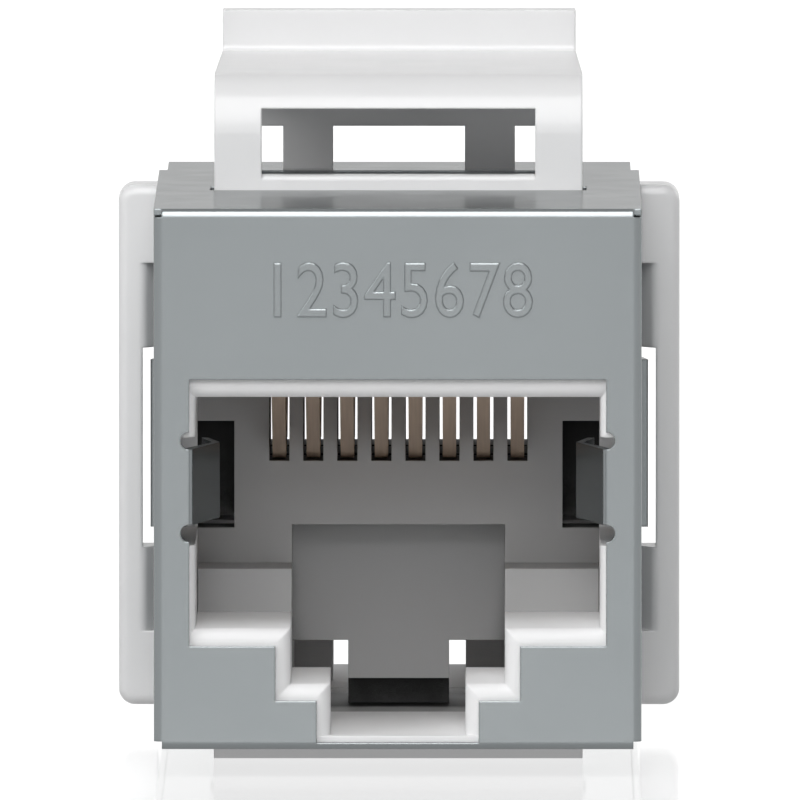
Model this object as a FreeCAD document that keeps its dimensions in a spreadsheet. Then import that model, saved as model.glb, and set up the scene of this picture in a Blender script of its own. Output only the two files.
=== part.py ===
"""In-line shielded keystone coupler with two eight-contact ports, as a parametric document.

Every piece is drawn in port coordinates: X to the right, Y inwards from the port face,
Z up from the underside of the sheet shield. A Placement then sets the piece in the object
frame, whose origin is the middle of the underside of the panel hook.
"""
import FreeCAD, Part
import math
import os
import Sketcher

os.makedirs("parts", exist_ok=True)
doc = FreeCAD.newDocument("keystone_coupler")
sheet = doc.addObject("Spreadsheet::Sheet", "Sizes")

SIZES = [
    ("coupler_length", 29.0, "port face to port face"),
    ("shield_width", 14.5, "outside of the side walls"),
    ("front_height", 16.1, "outside height of the front shield"),
    ("rear_step", 2.7, "rear shield lower than the front one"),
    ("rear_depth", 9.7, "depth of the rear shield"),
    ("shield_gap", 0.1, "seam between the two shields"),
    ("sheet_gauge", 0.2, "thickness of the tinned sheet"),
    ("bend_radius", 0.23, "outside radius of a fold"),
    ("corner_relief", 0.24, "square notch where two folds meet"),
    ("overcut", 0.1, "how far a cut runs past a face, or a joint into its neighbour"),
    ("tail_inset", 0.25, "narrow tail of the front shield's top, each side"),
    ("tail_reach", 4.1, "length of that tail"),
    ("port_margin", 1.055, "shield beside its port opening"),
    ("brow", 5.08, "shield above its port opening"),
    ("port_base", 3.08, "shield opening, shoulder level"),
    ("step_width", 7.27, "shield opening, first notch"),
    ("step_base", 1.45, "level of the first notch"),
    ("keyway_width", 4.82, "shield opening, second notch"),
    ("lip_side", 0.175, "lead-in that shows at the sides"),
    ("lip_top", 0.55, "lead-in that shows at the top"),
    ("lip_shoulder", 0.505, "lead-in that shows on the shoulders"),
    ("lip_channel", 0.445, "lead-in that shows in the channel"),
    ("channel_base", 1.935, "level of the channel's side steps"),
    ("lip_groove", 0.395, "lead-in that shows in the middle groove"),
    ("groove_floor", 0.2, "moulding under the middle groove"),
    ("lead_radius", 0.42, "rounded lead-in of the plug cavity"),
    ("insert_fit", 0.05, "clearance of an insert in its shield"),
    ("insert_corner", 0.4, "rounded long corners of an insert"),
    ("pocket_room", 0.53, "contact pocket beside the outer contacts"),
    ("pocket_rise", 0.58, "contact pocket above the shield's opening"),
    ("pocket_start", 3.0, "depth at which the contact pocket starts"),
    ("finger_base", 6.69, "lower edge of a ground finger"),
    ("finger_height", 2.26, "ground finger, lower to upper edge"),
    ("finger_relief", 0.5, "height of the cut beside a finger"),
    ("relief_reach", 0.35, "that cut into the face"),
    ("finger_set", 0.08, "finger root outside the plug cavity"),
    ("finger_spring", 0.79, "finger tip inside its root"),
    ("finger_crest", 3.2, "depth of the finger tips"),
    ("finger_end", 2.0, "finger behind its tip"),
    ("finger_flare", 0.35, "finger end outside its tip"),
    ("finger_land", 0.3, "finger root along the face"),
    ("finger_headroom", 0.335, "window above a finger"),
    ("finger_footroom", 0.64, "window below a finger"),
    ("finger_web", 1.5, "side wall behind the finger windows"),
    ("comb_length", 9.6, "middle block between the inserts"),
    ("carrier_fit", 0.02, "clearance between moulded blocks"),
    ("seam_level", 6.03, "joint between contact base and comb"),
    ("comb_headroom", 0.1, "comb below the rear shield's top wall"),
    ("slot_width", 0.6, "one slot of the comb"),
    ("slot_floor", 7.94, "floor of the comb slots"),
    ("contact_pitch", 1.02, "spacing of the eight contacts"),
    ("contact_width", 0.4, "width of a contact spring"),
    ("contact_gauge", 0.28, "thickness of a contact spring"),
    ("contact_lift", 0.12, "top of a contact above the port opening's upper edge"),
    ("contact_drop", 0.52, "front drop of a contact spring"),
    ("contact_nose", 3.55, "depth of the front drop"),
    ("contact_bend", 0.25, "middle radius of the bends"),
    ("contact_entry", 0.35, "free end inside its slot"),
    ("contact_rest", 0.215, "free end above the slot's floor"),
    ("tail_rows", 3.8, "distance between the two rows of tails"),
    ("tail_stub", 0.25, "tail below the board"),
    ("tail_hole", 0.6, "plated hole in the board"),
    ("board_edge", 0.2, "board beside the contact pocket"),
    ("board_end", 1.4, "board beyond a row of tails"),
    ("board_gauge", 0.8, "thickness of the circuit board"),
    ("board_fit", 0.04, "clearance of the board in its nest"),
    ("side_pocket_width", 1.1, "side pocket inside the plug cavity"),
    ("side_pocket_back", 0.4, "side pocket behind the cavity wall"),
    ("side_pocket_top", 9.14, "top of the side pockets"),
    ("side_pocket_depth", 4.0, "depth of the side pockets"),
    ("stop_length", 2.5, "plug stops in front of the comb"),
    ("stop_height", 1.29, "plug stops above the shoulders"),
    ("step_setback", 2.7, "side steps end in front of the comb"),
    ("recess_reach", 1.8, "depth of the middle recess"),
    ("duct_top", 2.42, "top of the straight duct"),
    ("duct_rib_width", 3.03, "hanging rib in the duct"),
    ("duct_rib_base", 1.275, "underside of that rib"),
    ("web_length", 2.4, "foot under the hanging rib"),
    ("hook_width", 11.04, "panel hook across"),
    ("hook_drop", 0.85, "panel hook below the shield"),
    ("hook_start", 5.9, "front end of the hook's ramp"),
    ("hook_ramp", 1.8, "length of that ramp"),
    ("hook_flat", 1.6, "flat underside of the hook"),
    ("hook_fit", 0.1, "clearance of the hook in its window"),
    ("latch_width", 11.04, "latch at its foot"),
    ("latch_taper", 0.21, "latch narrower at its flange, each side"),
    ("latch_face", 9.9, "depth of the latch's front wall"),
    ("latch_wall", 0.8, "thickness of the front wall"),
    ("latch_sink", 0.1, "foot below the top of the shield"),
    ("latch_stand", 3.32, "top of the arm above the shield"),
    ("latch_rise", 0.26, "rise of the arm to its flange"),
    ("latch_arm", 0.9, "thickness of the arm"),
    ("latch_nose", 1.7, "rounded nose of the arm"),
    ("latch_inner", 0.18, "rounded inner corners of the latch"),
    ("flange_overhang", 0.6, "press flange behind the front shield"),
    ("flange_gauge", 1.2, "thickness of the press flange"),
    ("flange_height", 1.23, "press flange above the arm"),
    ("window_post", 1.42, "front wall beside its window"),
    ("window_sill", 0.4, "front wall below its window"),
    ("window_height", 1.99, "height of the window"),
    ("window_round", 0.15, "rounded front edge of the sill"),
    ("leg_setback", 1.3, "stop legs in front of the shield's edge"),
    ("leg_gauge", 0.8, "thickness of the stop legs"),
    ("leg_lift", 0.07, "stop legs above the shield"),
    ("leg_gap", 3.98, "distance between the stop legs"),
    ("leg_width", 1.51, "one stop leg across"),
    ("leg_height", 1.342, "stop legs below the rib that joins them"),
    ("pivot_drop", 0.9, "latch bead below the top of the shield"),
    ("bead_radius", 0.42, "bead at the foot of the latch"),
    ("bead_fit", 0.04, "clearance round the bead"),
    ("neck_gauge", 0.5, "neck between bead and front wall"),
    ("mouth_width", 0.76, "mouth of the bead groove"),
    ("groove_back", 0.9, "moulding behind the bead groove"),
    ("groove_side", 0.5, "moulding beside the latch foot"),
    ("foot_side_fit", 0.12, "clearance beside the latch foot"),
    ("foot_front_room", 0.7, "slot in front of the latch foot"),
    ("foot_rear_fit", 0.3, "slot behind the latch foot"),
    ("arm_slot_lip", 0.42, "cut-out under the arm, narrower each side"),
    ("arm_slot_strip", 0.25, "shield behind that cut-out"),
    ("wing_width", 1.235, "collar beside the shield"),
    ("collar_drop", 0.13, "collar's legs below the shield"),
    ("collar_inset", 0.46, "collar below the top of the front shield"),
    ("collar_gauge", 1.9, "collar along the coupler"),
    ("collar_fit", 0.04, "clearance of the collar on the shield"),
    ("bridge_setback", 0.3, "collar's bridge behind the faces of its legs"),
    ("collar_corner", 0.5, "rounded corners of the collar"),
    ("collar_edge", 0.3, "rounded front edge of the collar"),
    ("snap_base", 4.66, "lower end of the snap slot"),
    ("snap_height", 6.044, "height of the snap slot"),
    ("snap_depth", 0.48, "snap slot into the collar's leg"),
    ("rebate_base", 2.12, "lower end of the sloped rebate"),
    ("rebate_height", 11.15, "height of the sloped rebate"),
    ("rebate_depth", 0.42, "sloped rebate into the leg"),
    ("rebate_length", 0.6, "rebate along the coupler"),
    ("rebate_round", 0.3, "rounded edge of the rebate"),
    ("tab_inset", 0.48, "snap tab shorter than its slot, each end"),
    ("tab_height", 0.29, "snap tab above the side wall"),
    ("tab_length", 2.0, "ramp of a snap tab"),
    ("tab_gap", 0.05, "snap tab behind the collar"),
    ("barb_gap", 0.5, "snap barb beside the slot"),
    ("barb_height", 1.4, "snap barb, lower to upper edge"),
]
TIED = [
    ("rear_height", "front_height - rear_step"),
    ("front_depth", "coupler_length - rear_depth - shield_gap"),
    ("insert_depth", "(coupler_length - comb_length) / 2"),
    ("port_width", "shield_width - port_margin * 2"),
    ("port_top", "front_height - brow"),
    ("cavity_width", "port_width - lip_side * 2"),
    ("cavity_base", "port_base + lip_shoulder"),
    ("cavity_top", "port_top - lip_top"),
    ("channel_width", "step_width - lip_channel * 2"),
    ("groove_width", "keyway_width - lip_groove * 2"),
    ("groove_base", "sheet_gauge + groove_floor"),
    ("step_reach", "insert_depth - step_setback"),
    ("pocket_width", "contact_pitch * 7 + slot_width + pocket_room * 2"),
    ("pocket_top", "port_top + pocket_rise"),
    ("finger_top", "finger_base + finger_height"),
    ("finger_root", "cavity_width + finger_set * 2"),
    ("finger_mouth", "finger_root - finger_spring * 2"),
    ("finger_reach", "finger_crest + finger_end"),
    ("comb_top", "rear_height - sheet_gauge - comb_headroom"),
    ("contact_level", "port_top + contact_lift - contact_gauge / 2"),
    ("contact_end", "insert_depth + contact_entry"),
    ("contact_end_level", "slot_floor + contact_rest"),
    ("tail_depth", "(coupler_length - tail_rows) / 2"),
    ("board_width", "pocket_width + board_edge * 2"),
    ("board_length", "tail_rows + board_end * 2"),
    ("side_pocket", "cavity_width - side_pocket_width * 2"),
    ("stop_reach", "insert_depth - stop_length"),
    ("stop_top", "cavity_base + stop_height"),
    ("hook_crest", "hook_start + hook_ramp"),
    ("hook_catch", "hook_crest + hook_flat"),
    ("latch_level", "front_height + latch_stand"),
    ("flange_depth", "front_depth + flange_overhang"),
    ("flange_top", "latch_level + latch_rise + flange_height"),
    ("window_width", "latch_width - window_post * 2"),
    ("window_base", "front_height + window_sill"),
    ("window_top", "window_base + window_height"),
    ("leg_depth", "front_depth - leg_setback"),
    ("leg_base", "front_height + leg_lift"),
    ("rib_base", "leg_base + leg_height"),
    ("pivot_depth", "latch_face + latch_wall / 2"),
    ("pivot_level", "front_height - pivot_drop"),
    ("shelf_depth", "latch_face + latch_wall + groove_back"),
    ("shelf_base", "rear_height - sheet_gauge"),
    ("foot_slot_start", "latch_face - foot_front_room"),
    ("foot_slot_end", "latch_face + latch_wall + foot_rear_fit"),
    ("arm_slot_width", "latch_width - arm_slot_lip * 2"),
    ("arm_slot_end", "front_depth - arm_slot_strip"),
    ("collar_width", "shield_width + wing_width * 2"),
    ("collar_top", "front_height - collar_inset"),
    ("snap_top", "snap_base + snap_height"),
    ("tab_base", "snap_base + tab_inset"),
    ("tab_top", "snap_top - tab_inset"),
]
for row, (alias, value, note) in enumerate(SIZES, start=1):
    sheet.set("A%d" % row, note)
    sheet.set("B%d" % row, str(value))
    sheet.setAlias("B%d" % row, alias)
for row, (alias, formula) in enumerate(TIED, start=1):
    sheet.set("D%d" % row, "=" + formula)
    sheet.setAlias("D%d" % row, alias)
doc.recompute()


def bound(text):
    """Names of the sheet become references to it."""
    words = []
    for word in text.split():
        bare = word.strip("-()")
        if hasattr(sheet, bare) and not bare[:1].isdigit():
            word = word.replace(bare, "Sizes." + bare)
        words.append(word)
    return " ".join(words)


def number(text):
    return float(sheet.evalExpression(bound(text)))


def new_body(label, turned=False):
    """A piece in port coordinates, placed at the front port or turned round to the rear one."""
    body = doc.addObject("PartDesign::Body", label)
    body.Label = label
    angle = 180.0 if turned else 0.0
    body.Placement = FreeCAD.Placement(
        FreeCAD.Vector(0, 0, 0), FreeCAD.Rotation(FreeCAD.Vector(0, 0, 1), angle)
    )
    side = "coupler_length / 2" if turned else "-coupler_length / 2"
    body.setExpression(".Placement.Base.y", bound(side))
    body.setExpression(".Placement.Base.z", bound("hook_drop"))
    return body


def new_sketch(body, name, role, offset="0"):
    """A sketch on one of the body's own planes, moved along that plane's normal."""
    plane = [f for f in body.Origin.OriginFeatures if f.Role == role][0]
    sketch = body.newObject("Sketcher::SketchObject", body.Label + "_" + name)
    sketch.AttachmentSupport = [(plane, "")]
    sketch.MapMode = "FlatFace"
    sketch.setExpression(".AttachmentOffset.Base.z", bound(offset))
    return sketch


def locate(sketch, geometry, corner, place, name):
    """Both coordinates of a sketch point follow the sheet."""
    for kind, text in zip(("DistanceX", "DistanceY"), place):
        made = sketch.addConstraint(
            Sketcher.Constraint(kind, -1, 1, geometry, corner, number(text))
        )
        title = "%s_%s" % (name, kind[-1])
        sketch.renameConstraint(made, title)
        sketch.setExpression("Constraints." + title, bound(text))


def outline(sketch, places):
    """A closed outline through the given places."""
    first = sketch.GeometryCount
    count = len(places)
    spots = [FreeCAD.Vector(number(x), number(y), 0) for x, y in places]
    for i in range(count):
        sketch.addGeometry(Part.LineSegment(spots[i], spots[(i + 1) % count]), False)
    for i in range(count):
        after = first + (i + 1) % count
        sketch.addConstraint(Sketcher.Constraint("Coincident", first + i, 2, after, 1))
    for i in range(count):
        locate(sketch, first + i, 1, places[i], "corner%d" % (first + i))


def rectangle(sketch, left, right, low, high):
    outline(sketch, [(left, low), (right, low), (right, high), (left, high)])


def circle(sketch, place, radius):
    centre = FreeCAD.Vector(number(place[0]), number(place[1]), 0)
    made = sketch.addGeometry(Part.Circle(centre, FreeCAD.Vector(0, 0, 1), number(radius)), False)
    locate(sketch, made, 3, place, "centre%d" % made)
    size = sketch.addConstraint(Sketcher.Constraint("Radius", made, number(radius)))
    sketch.renameConstraint(size, "radius%d" % made)
    sketch.setExpression("Constraints.radius%d" % made, bound(radius))


def bent_path(sketch, places, radius):
    """An open run of straights through the given places, each corner rounded by the same radius."""
    spots = [FreeCAD.Vector(number(x), number(y), 0) for x, y in places]
    bend = number(radius)
    starts = [spots[0]]
    arcs = []
    for before, here, after in zip(spots, spots[1:], spots[2:]):
        inward = (before - here).normalize()
        onward = (after - here).normalize()
        half = inward.getAngle(onward) / 2
        reach = bend / math.tan(half)
        centre = here + (inward + onward).normalize() * (bend / math.sin(half))
        one = here + inward * reach
        two = here + onward * reach
        middle = centre + (here - centre).normalize() * bend
        starts += [one, two]
        arcs.append((one, middle, two))
    starts.append(spots[-1])
    lines = []
    for i in range(len(places) - 1):
        piece = Part.LineSegment(starts[2 * i], starts[2 * i + 1])
        lines.append(sketch.addGeometry(piece, False))
    locate(sketch, lines[0], 1, places[0], "start")
    locate(sketch, lines[-1], 2, places[-1], "finish")
    for i, (one, middle, two) in enumerate(arcs):
        arc = sketch.addGeometry(Part.Arc(one, middle, two), False)
        corner = sketch.addGeometry(Part.Point(spots[i + 1]), True)
        ccw = sketch.Geometry[arc].StartPoint.distanceToPoint(one) < 1e-6
        head, tail = (1, 2) if ccw else (2, 1)
        sketch.addConstraint(Sketcher.Constraint("Tangent", lines[i], 2, arc, head))
        sketch.addConstraint(Sketcher.Constraint("Tangent", arc, tail, lines[i + 1], 1))
        locate(sketch, corner, 1, places[i + 1], "bend%d" % i)
        sketch.addConstraint(Sketcher.Constraint("PointOnObject", corner, 1, lines[i]))
        sketch.addConstraint(Sketcher.Constraint("PointOnObject", corner, 1, lines[i + 1]))
        size = sketch.addConstraint(Sketcher.Constraint("Radius", arc, bend))
        sketch.renameConstraint(size, "radius%d" % i)
        sketch.setExpression("Constraints.radius%d" % i, bound(radius))


def pad(body, sketch, length, reverse=False, middle=False):
    made = body.newObject("PartDesign::Pad", sketch.Label + "_pad")
    made.Profile = sketch
    made.Reversed = reverse
    made.Midplane = middle
    made.setExpression("Length", bound(length))
    doc.recompute()
    return made


def pocket(body, sketch, length, reverse=False, middle=False):
    made = body.newObject("PartDesign::Pocket", sketch.Label + "_cut")
    made.Profile = sketch
    made.Reversed = reverse
    made.Midplane = middle
    made.setExpression("Length", bound(length))
    doc.recompute()
    return made


def edge_names(feature, wanted):
    """Names of the edges whose two ends and middle satisfy the test."""
    names = []
    for i, edge in enumerate(feature.Shape.Edges, start=1):
        ends = [v.Point for v in edge.Vertexes]
        middle = edge.valueAt((edge.FirstParameter + edge.LastParameter) / 2)
        if wanted(ends + [middle]):
            names.append("Edge%d" % i)
    return names


def fillet(body, feature, wanted, radius):
    made = body.newObject("PartDesign::Fillet", body.Label + "_round")
    made.Base = (feature, edge_names(feature, wanted))
    made.setExpression("Radius", bound(radius))
    doc.recompute()
    return made


def near(value, text):
    return abs(value - number(text)) < 1e-4


# The port opening steps inwards twice below the plug body, for the plug's own latch.
def port_outline(sketch, wide, shoulder, top, first, first_level, second, floor):
    outline(
        sketch,
        [
            ("-%s / 2" % wide, top),
            ("-%s / 2" % wide, shoulder),
            ("-%s / 2" % first, shoulder),
            ("-%s / 2" % first, first_level),
            ("-%s / 2" % second, first_level),
            ("-%s / 2" % second, floor),
            ("%s / 2" % second, floor),
            ("%s / 2" % second, first_level),
            ("%s / 2" % first, first_level),
            ("%s / 2" % first, shoulder),
            ("%s / 2" % wide, shoulder),
            ("%s / 2" % wide, top),
        ],
    )


# A shield is one sheet: a face with four walls folded back from it, a top wall that laps over the
# side walls behind its fold, and two ground fingers bent in from the sides of the port.
def make_shield(label, tall, deep, turned):
    body = new_body(label, turned)
    half = "shield_width / 2"
    face = new_sketch(body, "face", "XZ_Plane")
    outline(
        face,
        [
            ("-%s + corner_relief" % half, "0"),
            ("%s - corner_relief" % half, "0"),
            ("%s - corner_relief" % half, "corner_relief"),
            (half, "corner_relief"),
            (half, "%s - corner_relief" % tall),
            ("%s - corner_relief" % half, "%s - corner_relief" % tall),
            ("%s - corner_relief" % half, tall),
            ("-%s + corner_relief" % half, tall),
            ("-%s + corner_relief" % half, "%s - corner_relief" % tall),
            ("-%s" % half, "%s - corner_relief" % tall),
            ("-%s" % half, "corner_relief"),
            ("-%s + corner_relief" % half, "corner_relief"),
        ],
    )
    pad(body, face, "sheet_gauge", reverse=True)
    walls = new_sketch(body, "walls", "XZ_Plane")
    rectangle(walls, "-%s + corner_relief" % half, "%s - corner_relief" % half, "0", "sheet_gauge")
    rectangle(
        walls,
        "-%s + corner_relief" % half,
        "%s - corner_relief" % half,
        "%s - sheet_gauge" % tall,
        tall,
    )
    rectangle(walls, "-%s" % half, "-%s + sheet_gauge" % half, "corner_relief", "%s - corner_relief" % tall)
    rectangle(walls, "%s - sheet_gauge" % half, half, "corner_relief", "%s - corner_relief" % tall)
    folded = pad(body, walls, deep, reverse=True)

    def on_fold(points):
        front = all(abs(p.y) < 1e-4 for p in points)
        top = all(near(p.z, tall) for p in points)
        low = all(abs(p.z) < 1e-4 for p in points)
        side = all(near(abs(p.x), half) for p in points)
        return front and (top or low or side)

    fillet(body, folded, on_fold, "bend_radius")
    lid = new_sketch(body, "lid", "XZ_Plane", "-corner_relief")
    for sign, plus in (("-", "+"), ("", "-")):
        edges = ["%s%s" % (sign, half), "%s%s %s corner_relief %s overcut" % (sign, half, plus, plus)]
        left, right = edges if sign else edges[::-1]
        rectangle(lid, left, right, "%s - sheet_gauge" % tall, tall)
    pad(body, lid, "%s - corner_relief" % deep, reverse=True)
    opening = new_sketch(body, "opening", "XZ_Plane")
    port_outline(
        opening,
        "port_width",
        "port_base",
        "port_top",
        "step_width",
        "step_base",
        "keyway_width",
        "sheet_gauge",
    )
    pocket(body, opening, "sheet_gauge * 2")
    relief = new_sketch(body, "relief", "XZ_Plane")
    for sign in ("-", ""):
        for low, high in (
            ("finger_top", "finger_top + finger_relief"),
            ("finger_base - finger_relief", "finger_base"),
        ):
            rectangle(
                relief,
                "finger_root / 2 - relief_reach" if sign == "" else "-finger_root / 2 - relief_reach",
                "finger_root / 2 + relief_reach" if sign == "" else "-finger_root / 2 + relief_reach",
                low,
                high,
            )
    cut = pocket(body, relief, "sheet_gauge * 2")

    def on_relief(points):
        outer = all(near(abs(p.x), "finger_root / 2 + relief_reach") for p in points)
        across = points[0].distanceToPoint(points[1])
        return outer and abs(across - number("sheet_gauge")) < 1e-4

    fillet(body, cut, on_relief, "finger_relief * 0.48")
    fingers = new_sketch(body, "fingers", "XY_Plane", "finger_base")
    for sign in ("-", ""):
        plus = "-" if sign else "+"
        outline(
            fingers,
            [
                ("%sfinger_root / 2 %s finger_land" % (sign, plus), "sheet_gauge / 20"),
                ("%sfinger_root / 2 %s sheet_gauge / 2" % (sign, plus), "sheet_gauge / 20"),
                ("%sfinger_root / 2" % sign, "sheet_gauge / 2"),
                ("%sfinger_mouth / 2" % sign, "finger_crest"),
                ("%sfinger_mouth / 2 %s finger_flare" % (sign, plus), "finger_reach"),
                ("%sfinger_mouth / 2 %s finger_flare %s sheet_gauge" % (sign, plus, plus), "finger_reach"),
                ("%sfinger_mouth / 2 %s sheet_gauge" % (sign, plus), "finger_crest"),
                ("%sfinger_root / 2 %s finger_land" % (sign, plus), "sheet_gauge"),
            ],
        )
    last = pad(body, fingers, "finger_top - finger_base")
    return body, last


front_shield, last = make_shield("front_shield", "front_height", "front_depth", False)
tail = new_sketch(front_shield, "tail", "XY_Plane", "front_height - sheet_gauge")
rectangle(
    tail,
    "-shield_width / 2 + tail_inset",
    "shield_width / 2 - tail_inset",
    "front_depth - overcut",
    "front_depth + tail_reach",
)
pad(front_shield, tail, "sheet_gauge")
latch_slot = new_sketch(front_shield, "latch_slot", "XY_Plane", "front_height")
outline(
    latch_slot,
    [
        ("-latch_width / 2 - foot_side_fit", "foot_slot_start"),
        ("latch_width / 2 + foot_side_fit", "foot_slot_start"),
        ("latch_width / 2 + foot_side_fit", "foot_slot_end"),
        ("arm_slot_width / 2", "foot_slot_end"),
        ("arm_slot_width / 2", "arm_slot_end"),
        ("-arm_slot_width / 2", "arm_slot_end"),
        ("-arm_slot_width / 2", "foot_slot_end"),
        ("-latch_width / 2 - foot_side_fit", "foot_slot_end"),
    ],
)
pocket(front_shield, latch_slot, "sheet_gauge * 2")
hook_window = new_sketch(front_shield, "hook_window", "XY_Plane", "sheet_gauge")
rectangle(
    hook_window,
    "-hook_width / 2 - hook_fit",
    "hook_width / 2 + hook_fit",
    "hook_start - hook_fit",
    "hook_catch + hook_fit",
)
pocket(front_shield, hook_window, "sheet_gauge * 2")

rear_shield, last = make_shield("rear_shield", "rear_height", "rear_depth", True)
TAB_FACE = "rear_depth - collar_gauge - tab_gap"
tabs = new_sketch(rear_shield, "tabs", "XY_Plane", "tab_base")
for sign, plus, minus in (("-", "-", "+"), ("", "+", "-")):
    outline(
        tabs,
        [
            ("%sshield_width / 2 %s overcut" % (sign, minus), TAB_FACE),
            ("%sshield_width / 2 %s tab_height" % (sign, plus), TAB_FACE),
            ("%sshield_width / 2" % sign, TAB_FACE + " - tab_length"),
            ("%sshield_width / 2 %s overcut" % (sign, minus), TAB_FACE + " - tab_length"),
        ],
    )
pad(rear_shield, tabs, "tab_top - tab_base")
for name, level in (
    ("low_barbs", "snap_base - barb_gap - barb_height"),
    ("high_barbs", "snap_top + barb_gap"),
):
    barbs = new_sketch(rear_shield, name, "XY_Plane", level)
    for sign, plus, minus in (("-", "-", "+"), ("", "+", "-")):
        outline(
            barbs,
            [
                ("%sshield_width / 2 %s overcut" % (sign, minus), TAB_FACE),
                ("%sshield_width / 2 %s tab_height" % (sign, plus), TAB_FACE),
                ("%sshield_width / 2" % sign, TAB_FACE + " - tab_length"),
                ("%sshield_width / 2 %s overcut" % (sign, minus), TAB_FACE + " - tab_length"),
            ],
        )
    pad(rear_shield, barbs, "barb_height")


# An insert is a white moulding behind the shield's face: plug cavity with a rounded lead-in,
# contact pocket, side windows for the ground fingers.
def make_insert(label, tall, turned):
    body = new_body(label, turned)
    half = "shield_width / 2 - sheet_gauge - insert_fit"
    block = new_sketch(body, "block", "XZ_Plane", "-sheet_gauge")
    rectangle(
        block,
        "-shield_width / 2 + sheet_gauge + insert_fit",
        half,
        "sheet_gauge",
        "%s - sheet_gauge - insert_fit" % tall,
    )
    solid = pad(body, block, "insert_depth - sheet_gauge", reverse=True)

    def long_corner(points):
        side = all(near(abs(p.x), half) for p in points)
        top = all(near(p.z, "%s - sheet_gauge - insert_fit" % tall) for p in points)
        low = all(near(p.z, "sheet_gauge") for p in points)
        return side and (top or low)

    fillet(body, solid, long_corner, "insert_corner")
    cavity = new_sketch(body, "cavity", "XZ_Plane", "-sheet_gauge")
    port_outline(
        cavity,
        "cavity_width",
        "cavity_base",
        "cavity_top",
        "channel_width",
        "channel_base",
        "groove_width",
        "groove_base",
    )
    hollow = pocket(body, cavity, "insert_depth")

    def lead_in(points):
        front = all(near(p.y, "sheet_gauge") for p in points)
        inside = all(abs(p.x) < number("cavity_width / 2") + 1e-4 for p in points)
        level = all(number("groove_base") - 1e-4 < p.z < number("cavity_top") + 1e-4 for p in points)
        floor = all(near(p.z, "groove_base") for p in points)
        return front and inside and level and not floor

    fillet(body, hollow, lead_in, "lead_radius")
    loft = new_sketch(body, "contact_pocket", "XZ_Plane", "-pocket_start")
    rectangle(loft, "-pocket_width / 2", "pocket_width / 2", "cavity_top - overcut", "pocket_top")
    pocket(body, loft, "insert_depth")
    steps = new_sketch(body, "step_end", "XZ_Plane", "-step_reach")
    rectangle(steps, "-channel_width / 2", "channel_width / 2", "groove_base", "channel_base + overcut")
    pocket(body, steps, "insert_depth")
    windows = new_sketch(body, "finger_windows", "XZ_Plane", "-sheet_gauge")
    for left, right in (
        ("-shield_width / 2", "-cavity_width / 2 + overcut"),
        ("cavity_width / 2 - overcut", "shield_width / 2"),
    ):
        rectangle(windows, left, right, "finger_base - finger_footroom", "finger_top + finger_headroom")
    last = pocket(body, windows, "insert_depth - sheet_gauge - finger_web")
    return body, last


front_insert, last = make_insert("front_insert", "front_height", False)
shelf = new_sketch(front_insert, "groove_block", "YZ_Plane")
rectangle(
    shelf,
    "insert_depth - overcut",
    "shelf_depth",
    "shelf_base",
    "front_height - sheet_gauge - insert_fit",
)
pad(front_insert, shelf, "latch_width + groove_side * 2", middle=True)
hook = new_sketch(front_insert, "hook", "YZ_Plane")
outline(
    hook,
    [
        ("hook_start", "sheet_gauge"),
        ("hook_crest", "-hook_drop"),
        ("hook_catch", "-hook_drop"),
        ("hook_catch", "sheet_gauge"),
    ],
)
pad(front_insert, hook, "hook_width", middle=True)
groove = new_sketch(front_insert, "bead_groove", "YZ_Plane")
circle(groove, ("pivot_depth", "pivot_level"), "bead_radius + bead_fit")
pocket(front_insert, groove, "latch_width + foot_side_fit * 2", middle=True)
mouth = new_sketch(front_insert, "groove_mouth", "YZ_Plane")
rectangle(
    mouth,
    "pivot_depth - neck_gauge / 2 - bead_fit",
    "pivot_depth - neck_gauge / 2 - bead_fit + mouth_width",
    "pivot_level",
    "front_height",
)
pocket(front_insert, mouth, "latch_width + foot_side_fit * 2", middle=True)

rear_insert, last = make_insert("rear_insert", "rear_height", True)

# The contact base fills the middle under the board: plug stops, recess and a straight duct
# with a rib hanging into it.
CARRIER_START = "insert_depth + carrier_fit"
CARRIER_END = "coupler_length - insert_depth - carrier_fit"
CARRIER_LENGTH = "coupler_length - insert_depth * 2 - carrier_fit * 2"
CARRIER_HALF = "shield_width / 2 - sheet_gauge - insert_fit"
CARRIER_LEFT = "-shield_width / 2 + sheet_gauge + insert_fit"
contact_base = new_body("contact_base")
block = new_sketch(contact_base, "block", "XZ_Plane", "-insert_depth - carrier_fit")
rectangle(block, CARRIER_LEFT, CARRIER_HALF, "sheet_gauge", "seam_level")
solid = pad(contact_base, block, CARRIER_LENGTH, reverse=True)


def base_corner(points):
    side = all(near(abs(p.x), CARRIER_HALF) for p in points)
    low = all(near(p.z, "sheet_gauge") for p in points)
    return side and low


fillet(contact_base, solid, base_corner, "insert_corner")
stops = new_sketch(contact_base, "plug_stops", "XZ_Plane", "-stop_reach")
for left, right in (
    ("-cavity_width / 2 + carrier_fit", "-channel_width / 2"),
    ("channel_width / 2", "cavity_width / 2 - carrier_fit"),
):
    rectangle(stops, left, right, "cavity_base", "stop_top")
pad(contact_base, stops, "coupler_length - stop_reach * 2", reverse=True)
duct = new_sketch(contact_base, "duct", "XZ_Plane", "-insert_depth")
outline(
    duct,
    [
        ("-channel_width / 2", "groove_base"),
        ("channel_width / 2", "groove_base"),
        ("channel_width / 2", "duct_top"),
        ("duct_rib_width / 2", "duct_top"),
        ("duct_rib_width / 2", "duct_rib_base"),
        ("-duct_rib_width / 2", "duct_rib_base"),
        ("-duct_rib_width / 2", "duct_top"),
        ("-channel_width / 2", "duct_top"),
    ],
)
pocket(contact_base, duct, "coupler_length - insert_depth * 2")
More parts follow.
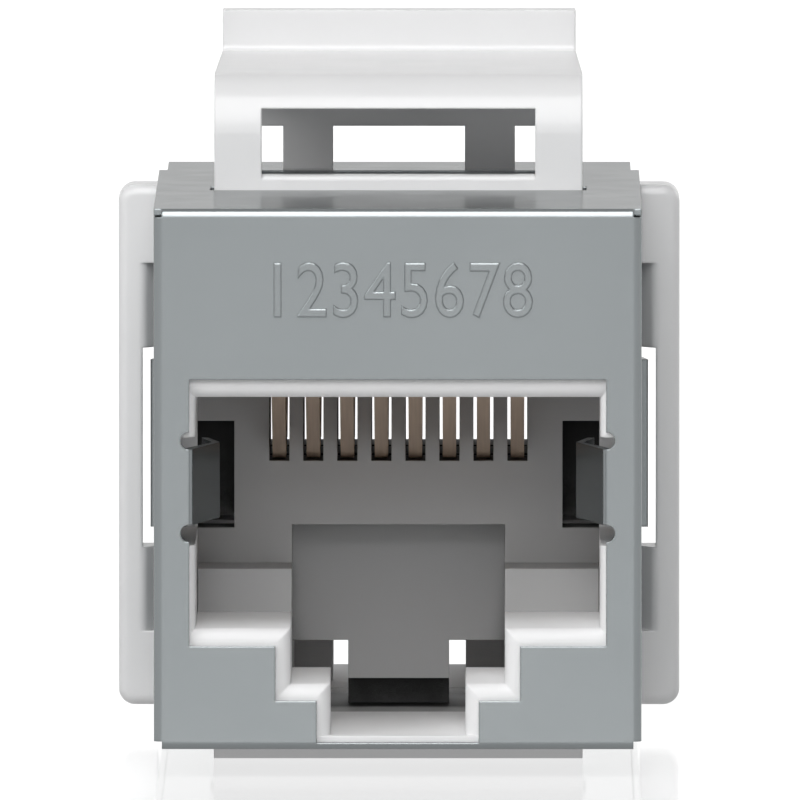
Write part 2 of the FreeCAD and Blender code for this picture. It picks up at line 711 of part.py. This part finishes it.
for name, start in (
    ("front_recess", "-insert_depth"),
    ("rear_recess", "-coupler_length + insert_depth + recess_reach"),
):
    recess = new_sketch(contact_base, name, "XZ_Plane", start)
    rectangle(recess, "-channel_width / 2", "channel_width / 2", "groove_base", "seam_level + overcut")
    pocket(contact_base, recess, "recess_reach")
for name, start in (
    ("front_lap", "-insert_depth"),
    ("rear_lap", "-coupler_length + insert_depth + recess_reach + carrier_fit * 2"),
):
    lap = new_sketch(contact_base, name, "XZ_Plane", start)
    rectangle(lap, CARRIER_LEFT + " - overcut", "-channel_width / 2", "stop_top", "seam_level + overcut")
    rectangle(lap, "channel_width / 2", CARRIER_HALF + " + overcut", "stop_top", "seam_level + overcut")
    pocket(contact_base, lap, "recess_reach + carrier_fit * 2")
web = new_sketch(contact_base, "web", "XZ_Plane", "-coupler_length / 2 + web_length / 2")
rectangle(
    web,
    "-duct_rib_width / 2",
    "duct_rib_width / 2",
    "groove_base - overcut",
    "duct_rib_base + overcut",
)
pad(contact_base, web, "web_length", reverse=True)

for name, row in (("front_trench", "tail_depth"), ("rear_trench", "coupler_length - tail_depth")):
    trench = new_sketch(contact_base, name, "XY_Plane", "seam_level")
    rectangle(
        trench,
        "-contact_pitch * 3.5 - slot_width / 2",
        "contact_pitch * 3.5 + slot_width / 2",
        row + " - slot_width / 2",
        row + " + slot_width / 2",
    )
    pocket(contact_base, trench, "tail_stub + overcut")

# The comb carries the contact springs in eight slots that run right through. Its aprons lap over
# the ends of the base, beside the recess.
contact_comb = new_body("contact_comb")
block = new_sketch(contact_comb, "block", "XZ_Plane", "-insert_depth - carrier_fit")
rectangle(block, CARRIER_LEFT, CARRIER_HALF, "seam_level", "comb_top")
pad(contact_comb, block, CARRIER_LENGTH, reverse=True)
for name, start in (
    ("front_apron", "-insert_depth - carrier_fit"),
    ("rear_apron", "-coupler_length + insert_depth + carrier_fit + recess_reach"),
):
    apron = new_sketch(contact_comb, name, "XZ_Plane", start)
    rectangle(apron, CARRIER_LEFT, "-channel_width / 2", "stop_top", "seam_level + overcut")
    rectangle(apron, "channel_width / 2", CARRIER_HALF, "stop_top", "seam_level + overcut")
    pad(contact_comb, apron, "recess_reach", reverse=True)
nest = new_sketch(contact_comb, "board_nest", "XY_Plane", "seam_level")
rectangle(
    nest,
    "-board_width / 2 - board_fit",
    "board_width / 2 + board_fit",
    "coupler_length / 2 - board_length / 2 - board_fit",
    "coupler_length / 2 + board_length / 2 + board_fit",
)
pocket(contact_comb, nest, "board_gauge + board_fit", reverse=True)
for name, start in (
    ("front_pockets", "-insert_depth"),
    ("rear_pockets", "-coupler_length + insert_depth + side_pocket_depth"),
):
    sides = new_sketch(contact_comb, name, "XZ_Plane", start)
    for left, right in (
        ("-cavity_width / 2 - side_pocket_back", "-side_pocket / 2"),
        ("side_pocket / 2", "cavity_width / 2 + side_pocket_back"),
    ):
        rectangle(sides, left, right, "seam_level - overcut", "side_pocket_top")
    pocket(contact_comb, sides, "side_pocket_depth")
for name, row in (("front_tails", "tail_depth"), ("rear_tails", "coupler_length - tail_depth")):
    tails = new_sketch(contact_comb, name, "XY_Plane", "seam_level")
    rectangle(
        tails,
        "-contact_pitch * 3.5 - slot_width / 2",
        "contact_pitch * 3.5 + slot_width / 2",
        row + " - slot_width / 2",
        row + " + slot_width / 2",
    )
    pocket(contact_comb, tails, "slot_floor - seam_level + overcut", reverse=True)
slot = new_sketch(contact_comb, "slot", "XZ_Plane", "-insert_depth")
rectangle(
    slot,
    "-contact_pitch * 3.5 - slot_width / 2",
    "-contact_pitch * 3.5 + slot_width / 2",
    "slot_floor",
    "comb_top + overcut",
)
one_slot = pocket(contact_comb, slot, "coupler_length - insert_depth * 2")
slots = contact_comb.newObject("PartDesign::LinearPattern", "contact_comb_slots")
slots.Originals = [one_slot]
slots.Direction = (slot, ["H_Axis"])
slots.Occurrences = 8
slots.setExpression("Length", bound("contact_pitch * 7"))
contact_comb.Tip = slots
doc.recompute()

# The circuit board lies flat between base and comb and joins the two rows of tails.
circuit_board = new_body("circuit_board")
plate = new_sketch(circuit_board, "plate", "XY_Plane", "seam_level")
rectangle(
    plate,
    "-board_width / 2",
    "board_width / 2",
    "coupler_length / 2 - board_length / 2",
    "coupler_length / 2 + board_length / 2",
)
pad(circuit_board, plate, "board_gauge")
holes = new_sketch(circuit_board, "holes", "XY_Plane", "seam_level")
circle(holes, ("-contact_pitch * 3.5", "tail_depth"), "tail_hole / 2")
circle(holes, ("-contact_pitch * 3.5", "coupler_length - tail_depth"), "tail_hole / 2")
one_pair = pocket(circuit_board, holes, "board_gauge", reverse=True)
pairs = circuit_board.newObject("PartDesign::LinearPattern", "circuit_board_holes")
pairs.Originals = [one_pair]
pairs.Direction = (holes, ["H_Axis"])
pairs.Occurrences = 8
pairs.setExpression("Length", bound("contact_pitch * 7"))
circuit_board.Tip = pairs
doc.recompute()


# A contact is one bent flat wire: soldered tail, run forwards, drop, and a free leg back into its slot.
def make_contact(label, number_in_row, turned):
    body = new_body(label, turned)
    body.setExpression(".Placement.Base.x", bound("contact_pitch * %.1f" % (number_in_row - 4.5)))
    path = new_sketch(body, "path", "YZ_Plane")
    bent_path(
        path,
        [
            ("tail_depth", "seam_level - tail_stub"),
            ("tail_depth", "contact_level"),
            ("contact_nose", "contact_level"),
            ("contact_nose", "contact_level - contact_drop"),
            ("contact_end", "contact_end_level"),
        ],
        "contact_bend",
    )
    section = new_sketch(body, "section", "XY_Plane", "seam_level - tail_stub")
    rectangle(
        section,
        "-contact_width / 2",
        "contact_width / 2",
        "tail_depth - contact_gauge / 2",
        "tail_depth + contact_gauge / 2",
    )
    doc.recompute()
    wire = body.newObject("PartDesign::AdditivePipe", label + "_wire")
    wire.Profile = section
    wire.Spine = (path, ["Edge%d" % i for i in range(1, len(path.Shape.Edges) + 1)])
    doc.recompute()
    return body


contacts = []
for place in range(1, 9):
    contacts.append(make_contact("front_contact_%d" % place, place, False))
for place in range(1, 9):
    contacts.append(make_contact("rear_contact_%d" % place, place, True))

# The collar is a saddle over the rear shield whose legs stop behind the panel.
keystone_collar = new_body("keystone_collar")
COLLAR_START = "-front_depth - shield_gap"
saddle = new_sketch(keystone_collar, "saddle", "XZ_Plane", COLLAR_START)
INNER = "shield_width / 2 + collar_fit"
outline(
    saddle,
    [
        ("-collar_width / 2", "-collar_drop"),
        ("-shield_width / 2 - collar_fit", "-collar_drop"),
        ("-shield_width / 2 - collar_fit", "rear_height + collar_fit"),
        (INNER, "rear_height + collar_fit"),
        (INNER, "-collar_drop"),
        ("collar_width / 2", "-collar_drop"),
        ("collar_width / 2", "collar_top"),
        ("-collar_width / 2", "collar_top"),
    ],
)
solid = pad(keystone_collar, saddle, "collar_gauge", reverse=True)


def collar_corner(points):
    side = all(near(abs(p.x), "collar_width / 2") for p in points)
    along = abs(points[0].y - points[1].y) > number("collar_gauge / 2")
    return side and along


rounded = fillet(keystone_collar, solid, collar_corner, "collar_corner")


def collar_front(points):
    front = all(near(p.y, "front_depth + shield_gap") for p in points)
    outside = all(abs(p.x) > number("collar_width / 2 - collar_corner") - 1e-4 for p in points)
    return front and outside


fillet(keystone_collar, rounded, collar_front, "collar_edge")
COLLAR_FACE = "front_depth + shield_gap"
rebate = new_sketch(keystone_collar, "rebates", "XY_Plane", "rebate_base")
for sign, plus in (("-", "-"), ("", "+")):
    edge = "%sshield_width / 2 %s collar_fit %s rebate_depth" % (sign, plus, plus)
    outline(
        rebate,
        [
            ("%sshield_width / 2" % sign, COLLAR_FACE + " - overcut"),
            (edge, COLLAR_FACE + " - overcut"),
            (edge, COLLAR_FACE),
            ("%sshield_width / 2 %s collar_fit" % (sign, plus), COLLAR_FACE + " + rebate_length"),
            ("%sshield_width / 2" % sign, COLLAR_FACE + " + rebate_length"),
        ],
    )
sloped = pocket(keystone_collar, rebate, "rebate_height", reverse=True)


def rebate_edge(points):
    front = all(near(p.y, COLLAR_FACE) for p in points)
    side = all(near(abs(p.x), "shield_width / 2 + collar_fit + rebate_depth") for p in points)
    return front and side


fillet(keystone_collar, sloped, rebate_edge, "rebate_round")
snap = new_sketch(keystone_collar, "snap_slots", "XZ_Plane", COLLAR_START)
for outer, inner, depth in (
    ("-shield_width / 2 - collar_fit - ", "-shield_width / 2", -1),
    ("shield_width / 2", "shield_width / 2 + collar_fit + ", 1),
):
    if depth < 0:
        rectangle(snap, outer + "snap_depth", inner, "snap_base", "snap_top")
    else:
        rectangle(snap, outer, inner + "snap_depth", "snap_base", "snap_top")
pocket(keystone_collar, snap, "collar_gauge")
bridge = new_sketch(keystone_collar, "bridge_front", "XZ_Plane", COLLAR_START)
rectangle(bridge, "-shield_width / 2 - collar_fit", INNER, "rear_height - overcut", "collar_top + overcut")
pocket(keystone_collar, bridge, "bridge_setback")

# The latch is a springy arm: a bead at its foot, a front wall with a window, a press flange
# at the rear end and two stop legs under it.
latch = new_body("latch")
side = new_sketch(latch, "side", "YZ_Plane")
outline(
    side,
    [
        ("latch_face", "front_height - latch_sink"),
        ("latch_face", "latch_level"),
        ("flange_depth", "latch_level + latch_rise"),
        ("flange_depth", "flange_top"),
        ("flange_depth + flange_gauge", "flange_top"),
        ("flange_depth + flange_gauge", "latch_level + latch_rise - latch_arm"),
        ("leg_depth + leg_gauge", "latch_level + latch_rise - latch_arm"),
        ("leg_depth + leg_gauge", "leg_base"),
        ("leg_depth", "leg_base"),
        ("leg_depth", "latch_level + latch_rise - latch_arm"),
        ("latch_face + latch_wall", "latch_level - latch_arm"),
        ("latch_face + latch_wall", "front_height - latch_sink"),
        ("latch_face + latch_wall / 2 + neck_gauge / 2", "front_height - latch_sink"),
        ("latch_face + latch_wall / 2 + neck_gauge / 2", "pivot_level"),
        ("latch_face + latch_wall / 2 - neck_gauge / 2", "pivot_level"),
        ("latch_face + latch_wall / 2 - neck_gauge / 2", "front_height - latch_sink"),
    ],
)
arm = pad(latch, side, "latch_width", middle=True)


def nose_edge(points):
    return all(near(p.y, "latch_face") and near(p.z, "latch_level") for p in points)


nose = fillet(latch, arm, nose_edge, "latch_nose")


def inner_corner(points):
    front = all(near(p.y, "latch_face + latch_wall") and near(p.z, "latch_level - latch_arm") for p in points)
    rear = all(near(p.y, "flange_depth") and near(p.z, "latch_level + latch_rise") for p in points)
    return front or rear


fillet(latch, nose, inner_corner, "latch_inner")
bead = new_sketch(latch, "bead", "YZ_Plane")
circle(bead, ("pivot_depth", "pivot_level"), "bead_radius")
pad(latch, bead, "latch_width", middle=True)
window = new_sketch(latch, "window", "XZ_Plane", "-latch_face")
rectangle(window, "-window_width / 2", "window_width / 2", "window_base", "window_top")
opened = pocket(latch, window, "latch_wall + overcut")


def sill_edge(points):
    return all(near(p.y, "latch_face") and near(p.z, "window_base") for p in points)


fillet(latch, opened, sill_edge, "window_round")
legs = new_sketch(latch, "between_legs", "XZ_Plane", "-leg_depth + overcut")
rectangle(legs, "-leg_gap / 2", "leg_gap / 2", "leg_base - overcut", "rib_base")
rectangle(legs, "-latch_width / 2 - overcut", "-leg_gap / 2 - leg_width", "leg_base - overcut", "rib_base")
rectangle(legs, "leg_gap / 2 + leg_width", "latch_width / 2 + overcut", "leg_base - overcut", "rib_base")
pocket(latch, legs, "leg_gauge + overcut * 2")
taper = new_sketch(latch, "taper", "XY_Plane", "flange_top + overcut")
TIP = "flange_depth + flange_gauge"
for sign, plus, minus in (("-", "-", "+"), ("", "+", "-")):
    outline(
        taper,
        [
            ("%slatch_width / 2" % sign, "latch_face + latch_nose"),
            ("%slatch_width / 2 %s latch_taper" % (sign, minus), TIP),
            ("%slatch_width / 2 %s latch_taper" % (sign, minus), TIP + " + overcut"),
            ("%slatch_width / 2 %s overcut" % (sign, plus), TIP + " + overcut"),
            ("%slatch_width / 2 %s overcut" % (sign, plus), "latch_face + latch_nose"),
        ],
    )
pocket(latch, taper, "flange_top - leg_base + overcut * 2")

doc.recompute()
pieces = [
    front_shield,
    rear_shield,
    front_insert,
    rear_insert,
    contact_base,
    contact_comb,
    circuit_board,
    keystone_collar,
    latch,
] + contacts
for thing in doc.Objects:
    if "Invalid" in thing.State or "Error" in thing.State:
        raise RuntimeError("not solved: " + thing.Label)
for piece in pieces:
    shape = piece.Shape
    if shape.isNull() or not shape.isValid() or len(shape.Solids) != 1:
        raise RuntimeError("not one sound solid: " + piece.Label)
    shape.exportStep("parts/%s.step" % piece.Label)
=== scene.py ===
"""In-line shielded keystone coupler: finishes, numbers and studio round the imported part."""

import math

import bmesh
import bpy
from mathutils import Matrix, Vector


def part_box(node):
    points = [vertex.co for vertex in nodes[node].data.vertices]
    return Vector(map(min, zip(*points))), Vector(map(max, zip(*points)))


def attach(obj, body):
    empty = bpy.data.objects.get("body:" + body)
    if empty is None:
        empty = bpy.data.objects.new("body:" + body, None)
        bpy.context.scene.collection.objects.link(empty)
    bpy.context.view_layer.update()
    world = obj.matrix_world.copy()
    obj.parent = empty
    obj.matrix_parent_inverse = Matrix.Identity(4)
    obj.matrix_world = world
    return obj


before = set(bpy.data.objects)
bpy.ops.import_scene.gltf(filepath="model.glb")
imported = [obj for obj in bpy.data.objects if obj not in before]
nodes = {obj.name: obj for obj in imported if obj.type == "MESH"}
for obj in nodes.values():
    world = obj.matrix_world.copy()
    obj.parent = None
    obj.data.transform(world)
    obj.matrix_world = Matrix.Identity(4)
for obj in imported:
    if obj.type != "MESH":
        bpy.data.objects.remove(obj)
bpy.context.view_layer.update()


# Contact base: lower half of the contact carrier, with the plug stops and the straight duct.
# Injection-moulded grey thermoplastic, satin from a spark-eroded mould, trapped between the inserts.
def new_finish(name):
    """An empty finish, with its node tree and its shader."""
    finish = bpy.data.materials.new(name)
    finish.use_nodes = True
    return finish, finish.node_tree, finish.node_tree.nodes["Principled BSDF"]


def mottle(tree, place, scale, detail):
    """A level that wanders between 0 and 1 over the surface, scale spots to a metre."""
    noise = tree.nodes.new("ShaderNodeTexNoise")
    noise.inputs["Scale"].default_value = scale
    noise.inputs["Detail"].default_value = detail
    tree.links.new(place, noise.inputs["Vector"])
    return noise.outputs["Fac"]


mottle_reach = (0.3, 0.7)


def two_shades(tree, level, dark, light):
    """A colour that goes from dark to light over the usual reach of a mottle."""
    ramp = tree.nodes.new("ShaderNodeValToRGB")
    dark_stop, light_stop = ramp.color_ramp.elements
    dark_stop.position, light_stop.position = mottle_reach
    dark_stop.color = (*dark, 1.0)
    light_stop.color = (*light, 1.0)
    tree.links.new(level, ramp.inputs["Fac"])
    return ramp.outputs["Color"]


def spread(tree, level, reach, result=(0.0, 1.0)):
    """The level's reach, stretched to the result's low and high."""
    stretch = tree.nodes.new("ShaderNodeMapRange")
    stretch.inputs["From Min"].default_value = reach[0]
    stretch.inputs["From Max"].default_value = reach[1]
    stretch.inputs["To Min"].default_value = result[0]
    stretch.inputs["To Max"].default_value = result[1]
    tree.links.new(level, stretch.inputs["Value"])
    return stretch.outputs["Result"]


def fine_relief(tree, level, strength, edge_radius):
    """The surface's bumps, on edges that are softened by edge_radius."""
    soft_edge = tree.nodes.new("ShaderNodeBevel")
    soft_edge.samples = 6
    soft_edge.inputs["Radius"].default_value = edge_radius
    bumps = tree.nodes.new("ShaderNodeBump")
    bumps.inputs["Strength"].default_value = strength
    bumps.inputs["Distance"].default_value = 0.00001
    tree.links.new(level, bumps.inputs["Height"])
    tree.links.new(soft_edge.outputs["Normal"], bumps.inputs["Normal"])
    return bumps.outputs["Normal"]


def moulded_plastic(name, colour, roughness, grain, edge_radius, cavity=0.0):
    """Plastic with faint flow marks and an eroded grain, with painted shade (near-black) in recesses
    narrower than cavity.
    """
    flow_shade = 0.98
    gloss_play = 0.02
    painted_shade_black = (0.01, 0.01, 0.01, 1.0)
    finish, tree, shader = new_finish(name)
    shader.inputs["IOR"].default_value = 1.47
    place = tree.nodes.new("ShaderNodeTexCoord").outputs["Object"]
    flow = mottle(tree, place, scale=260.0, detail=3.0)
    tint = two_shades(tree, flow, [flow_shade * share for share in colour], colour)
    # Painted shade: near-black is mixed into the colour where ambient occlusion within cavity is low.
    if cavity:
        shade_occlusion = tree.nodes.new("ShaderNodeAmbientOcclusion")
        shade_occlusion.samples = 16
        shade_occlusion.only_local = True
        shade_occlusion.inputs["Distance"].default_value = cavity
        painted_shade_mix = tree.nodes.new("ShaderNodeMix")
        painted_shade_mix.data_type = "RGBA"
        painted_shade_mix.inputs["A"].default_value = painted_shade_black
        tree.links.new(spread(tree, shade_occlusion.outputs["AO"], reach=(0.3, 0.55)), painted_shade_mix.inputs["Factor"])
        tree.links.new(tint, painted_shade_mix.inputs["B"])
        tint = painted_shade_mix.outputs["Result"]
    tree.links.new(tint, shader.inputs["Base Color"])
    gloss = spread(tree, flow, mottle_reach, result=(roughness - gloss_play, roughness + gloss_play))
    tree.links.new(gloss, shader.inputs["Roughness"])
    erosion = mottle(tree, place, scale=9000.0, detail=2.0)
    tree.links.new(fine_relief(tree, erosion, grain, edge_radius), shader.inputs["Normal"])
    return finish


def finish_node(node, finish):
    """Gives the node's piece this finish alone."""
    piece = nodes[node]
    piece.data.materials.clear()
    piece.data.materials.append(finish)


# Painted shade on the carrier: its slots, pockets and duct go near-black where ambient occlusion
# within 3 mm is low.
carrier_plastic_painted_shade = moulded_plastic(
    "carrier_plastic_painted_shade", (0.46, 0.46, 0.46), roughness=0.5, grain=0.2, edge_radius=0.00003, cavity=0.003
)
finish_node("contact_base", carrier_plastic_painted_shade)


# Circuit board: glass-epoxy sheet that joins the two rows of contact tails, pinned by them.
# Green solder resist with the weave just visible through it.
board_resist, board_tree, board_shader = new_finish("board_resist")
board_shader.inputs["Roughness"].default_value = 0.32
board_place = board_tree.nodes.new("ShaderNodeTexCoord")
board_weave = board_tree.nodes.new("ShaderNodeTexChecker")
board_weave.inputs["Scale"].default_value = 2600.0
board_weave.inputs["Color1"].default_value = (0.010, 0.085, 0.040, 1.0)
board_weave.inputs["Color2"].default_value = (0.014, 0.105, 0.050, 1.0)
board_tree.links.new(board_place.outputs["Object"], board_weave.inputs["Vector"])
board_tree.links.new(board_weave.outputs["Color"], board_shader.inputs["Base Color"])
finish_node("circuit_board", board_resist)


# Contact comb: upper half of the carrier, with eight slots that run through to the rear port.
# Same grey thermoplastic as the base, with the same painted shade in its slots; its front face is the
# back wall of the plug cavity.
finish_node("contact_comb", carrier_plastic_painted_shade)


# Contact springs: eight flat phosphor-bronze wires in each port, bent and soldered in the board.
# Gold plated over nickel, with fine drawing lines along the strip.
def drawn_lines(tree, scale, detail):
    """A level in fine lines, close together along the axis that has the largest scale."""
    place = tree.nodes.new("ShaderNodeTexCoord")
    stretch = tree.nodes.new("ShaderNodeMapping")
    stretch.inputs["Scale"].default_value = scale
    tree.links.new(place.outputs["Object"], stretch.inputs["Vector"])
    return mottle(tree, stretch.outputs["Vector"], scale=1.0, detail=detail)


contact_count = 8
spring_gold, gold_tree, gold_shader = new_finish("spring_gold")
gold_shader.inputs["Metallic"].default_value = 0.72
gold_lines = drawn_lines(gold_tree, scale=(16000.0, 300.0, 300.0), detail=3.0)
gold_tint = two_shades(gold_tree, gold_lines, dark=(0.60, 0.46, 0.35), light=(0.68, 0.53, 0.41))
gold_gloss = spread(gold_tree, gold_lines, reach=(0.0, 1.0), result=(0.36, 0.5))
gold_tree.links.new(gold_tint, gold_shader.inputs["Base Color"])
gold_tree.links.new(gold_gloss, gold_shader.inputs["Roughness"])
for port in ("front", "rear"):
    for position in range(1, contact_count + 1):
        finish_node("%s_contact_%d" % (port, position), spring_gold)


# Inserts: the plug cavity behind each face, with the rounded lead-in; the front one has the hook.
# White flame-retardant thermoplastic, moulded in one piece each and held by the folded shields.
insert_white = moulded_plastic(
    "insert_white", (0.92, 0.92, 0.925), roughness=0.55, grain=0.2, edge_radius=0.00008
)
finish_node("front_insert", insert_white)
finish_node("rear_insert", insert_white)


# Shields: stamped and folded from thin tin-plated steel, one sheet each, snapped over the inserts.
# Satin plating with fine rolling lines and a faint cloud, and sheared edges that are a little rounded.
tin_plate, tin_tree, tin_shader = new_finish("tin_plate")
tin_shader.inputs["Metallic"].default_value = 0.8
tin_shader.inputs["Specular Tint"].default_value = (0.6, 0.61, 0.61, 1.0)
tin_place = tin_tree.nodes.new("ShaderNodeTexCoord").outputs["Object"]
tin_cloud = mottle(tin_tree, tin_place, scale=220.0, detail=4.0)
tin_lines = drawn_lines(tin_tree, scale=(700.0, 700.0, 14000.0), detail=4.0)
tin_tint = two_shades(tin_tree, tin_cloud, dark=(0.236, 0.254, 0.260), light=(0.248, 0.266, 0.272))
tin_gloss = spread(tin_tree, tin_lines, reach=(0.25, 0.75), result=(0.18, 0.21))
tin_relief = fine_relief(tin_tree, tin_lines, strength=0.006, edge_radius=0.00007)
tin_tree.links.new(tin_tint, tin_shader.inputs["Base Color"])
tin_tree.links.new(tin_gloss, tin_shader.inputs["Roughness"])
tin_tree.links.new(tin_relief, tin_shader.inputs["Normal"])
finish_node("front_shield", tin_plate)
finish_node("rear_shield", tin_plate)


# Pin numbers: the eight contact positions, coined into the brow of the front face.
# Raised in the plate itself by the stamping tool, each above its own contact.
number_drop = 0.0025
number_height = 0.0016
height_in_font = 0.69
number_narrowing = 0.84
number_relief = 0.00008
rounded_share = 0.4
stroke_thinning = 0.00001
weld_reach = 1e-7
face_low, face_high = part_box("front_shield")
number_verts = []
number_faces = []
for position in range(1, contact_count + 1):
    figure = bpy.data.curves.new("figure", "FONT")
    figure.body = str(position)
    figure.size = number_height / height_in_font
    figure.align_x = "CENTER"
    figure.align_y = "CENTER"
    figure.extrude = number_relief * (1.0 - rounded_share)
    figure.bevel_depth = number_relief * rounded_share
    figure.bevel_resolution = 2
    figure.offset = -stroke_thinning
    figure.resolution_u = 4
    drawn = bpy.data.objects.new("figure", figure)
    bpy.context.scene.collection.objects.link(drawn)
    bpy.context.view_layer.update()
    shaped = drawn.evaluated_get(bpy.context.evaluated_depsgraph_get())
    outline = bpy.data.meshes.new_from_object(shaped)
    bpy.data.objects.remove(drawn)
    contact_low, contact_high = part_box("front_contact_%d" % position)
    middle = (contact_low.x + contact_high.x) / 2
    first = len(number_verts)
    for vertex in outline.vertices:
        number_verts.append(
            (
                middle + number_narrowing * vertex.co.x,
                face_low.y - vertex.co.z,
                face_high.z - number_drop + vertex.co.y,
            )
        )
    number_faces.extend([[first + v for v in polygon.vertices] for polygon in outline.polygons])
number_mesh = bpy.data.meshes.new("pin_numbers")
number_mesh.from_pydata(number_verts, [], number_faces)
number_skin = bmesh.new()
number_skin.from_mesh(number_mesh)
bmesh.ops.remove_doubles(number_skin, verts=number_skin.verts, dist=weld_reach)
bmesh.ops.recalc_face_normals(number_skin, faces=number_skin.faces)
number_skin.to_mesh(number_mesh)
number_skin.free()
number_mesh.materials.append(tin_plate)
pin_numbers = bpy.data.objects.new("pin_numbers", number_mesh)
bpy.context.scene.collection.objects.link(pin_numbers)
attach(pin_numbers, "housing")


# Keystone collar: saddle behind the front shield whose legs are the side stops on the panel.
# White thermoplastic, snapped over the tabs of the rear shield.
housing_white = moulded_plastic(
    "housing_white", (0.84, 0.84, 0.845), roughness=0.23, grain=0.1, edge_radius=0.0001
)
finish_node("keystone_collar", housing_white)


# Latch: sprung arm with its window, press flange and stop legs, hooked in the insert by its bead.
# White thermoplastic moulding with a smooth top.
finish_node("latch", housing_white)


# Studio: a white sweep under and behind the part, with soft boxes in front of it and to its left,
# a narrow strip over the latch and a weak fill behind. The sweep keeps the shadow under the hook.
def reckon(tree, operation, *terms):
    """The result of a sum on levels and plain numbers."""
    sum_node = tree.nodes.new("ShaderNodeMath")
    sum_node.operation = operation
    for socket, term in zip(sum_node.inputs, terms):
        if isinstance(term, float):
            socket.default_value = term
        else:
            tree.links.new(term, socket)
    return sum_node.outputs["Value"]


def in_sight(tree):
    """1 where the camera looks, straight, off a gloss or through a clear piece, and 0 elsewhere."""
    path = tree.nodes.new("ShaderNodeLightPath").outputs
    straight_or_gloss = reckon(tree, "MAXIMUM", path["Is Camera Ray"], path["Is Glossy Ray"])
    return reckon(tree, "MAXIMUM", straight_or_gloss, path["Is Transmission Ray"])


white = (1.0, 1.0, 1.0, 1.0)
sweep_reach = 3.0
floor_mesh = bpy.data.meshes.new("sweep")
floor_mesh.from_pydata(
    [
        (-sweep_reach, -sweep_reach, 0.0),
        (sweep_reach, -sweep_reach, 0.0),
        (sweep_reach, sweep_reach, 0.0),
        (-sweep_reach, sweep_reach, 0.0),
    ],
    [],
    [(0, 1, 2, 3)],
)
floor = bpy.data.objects.new("sweep", floor_mesh)
bpy.context.scene.collection.objects.link(floor)
sweep_white, sweep_tree, sweep_shader = new_finish("sweep_white")
sweep_shader.inputs["Base Color"].default_value = (0.28, 0.28, 0.28, 1.0)
sweep_shader.inputs["Roughness"].default_value = 0.1
sweep_shader.inputs["IOR"].default_value = 1.15
plain_glow = 0.26
seen_glow = 0.34
sweep_level = reckon(sweep_tree, "MULTIPLY_ADD", in_sight(sweep_tree), seen_glow, plain_glow)
sweep_glow = sweep_tree.nodes.new("ShaderNodeEmission")
sweep_tree.links.new(sweep_level, sweep_glow.inputs["Strength"])
sweep_sum = sweep_tree.nodes.new("ShaderNodeAddShader")
sweep_tree.links.new(sweep_shader.outputs["BSDF"], sweep_sum.inputs[0])
sweep_tree.links.new(sweep_glow.outputs["Emission"], sweep_sum.inputs[1])
sweep_tree.links.new(
    sweep_sum.outputs["Shader"], sweep_tree.nodes["Material Output"].inputs["Surface"]
)
floor_mesh.materials.append(sweep_white)

world = bpy.data.worlds.new("studio")
bpy.context.scene.world = world
world.use_nodes = True
world_tree = world.node_tree
room = world_tree.nodes["Background"]
room.inputs["Color"].default_value = white
room.inputs["Strength"].default_value = 0.15
backdrop = world_tree.nodes.new("ShaderNodeBackground")
backdrop.inputs["Color"].default_value = white
room_place = world_tree.nodes.new("ShaderNodeTexCoord")
room_axes = world_tree.nodes.new("ShaderNodeSeparateXYZ")
world_tree.links.new(room_place.outputs["Generated"], room_axes.inputs["Vector"])
room_side = reckon(world_tree, "ABSOLUTE", room_axes.outputs["X"])
room_flank = spread(world_tree, room_side, reach=(0.25, 0.85), result=(1.0, 0.85))
room_ceiling = world_tree.nodes.new("ShaderNodeValToRGB")
ceiling_stops = room_ceiling.color_ramp.elements
ceiling_stops.remove(ceiling_stops[1])
ceiling_stops[0].color = white
for height, level in ((0.12, 0.8), (0.6, 0.74), (0.8, 0.7)):
    ceiling_stops.new(height).color = (level, level, level, 1.0)
world_tree.links.new(room_axes.outputs["Z"], room_ceiling.inputs["Fac"])
room_shade = reckon(world_tree, "MULTIPLY", room_flank, room_ceiling.outputs["Color"])
straight_sight = world_tree.nodes.new("ShaderNodeLightPath").outputs["Is Camera Ray"]
room_level = reckon(world_tree, "MAXIMUM", straight_sight, room_shade)
world_tree.links.new(room_level, backdrop.inputs["Strength"])
world_mix = world_tree.nodes.new("ShaderNodeMixShader")
world_tree.links.new(in_sight(world_tree), world_mix.inputs["Fac"])
world_tree.links.new(room.outputs["Background"], world_mix.inputs[1])
world_tree.links.new(backdrop.outputs["Background"], world_mix.inputs[2])
world_tree.links.new(
    world_mix.outputs["Shader"], world_tree.nodes["World Output"].inputs["Surface"]
)

lamp_aim = Vector((0.0, 0.0, 0.01))
for name, place, wide, tall, watts in (
    ("key_box", (-0.28, -0.24, 0.21), 0.2, 0.2, 0.48),
    ("front_box", (-0.03, -0.32, 0.34), 0.28, 0.5, 1.0),
    ("strip_box", (0.0, -0.33, 0.28), 0.06, 0.62, 0.4),
    ("rear_box", (0.34, 0.26, 0.17), 0.25, 0.25, 0.4),
):
    lamp = bpy.data.lights.new(name, "AREA")
    lamp.shape = "RECTANGLE"
    lamp.size = wide
    lamp.size_y = tall
    lamp.energy = watts
    box = bpy.data.objects.new(name, lamp)
    box.location = place
    box.rotation_euler = (lamp_aim - Vector(place)).to_track_quat("-Z", "Y").to_euler()
    bpy.context.scene.collection.objects.link(box)


# Camera: a long lens in front of the port, a little above it, as the part was photographed.
# It looks a little above the middle of the front face, so that the latch is well in the picture.
aim = Vector((0.00007, -0.0145, 0.01127))
elevation = math.radians(3.85)
turn = math.radians(0.13)
distance = 1.0563
lens = bpy.data.cameras.new("front_lens")
lens.lens = 1600.0
lens.sensor_width = 36.0
lens.clip_start = 0.05
lens.clip_end = 20.0
camera = bpy.data.objects.new("front_lens", lens)
camera.location = aim + distance * Vector(
    (
        math.sin(turn) * math.cos(elevation),
        -math.cos(turn) * math.cos(elevation),
        math.sin(elevation),
    )
)
camera.rotation_euler = (aim - camera.location).to_track_quat("-Z", "Y").to_euler()
bpy.context.scene.collection.objects.link(camera)
bpy.context.scene.camera = camera
bpy.context.scene.view_settings.view_transform = "Standard"
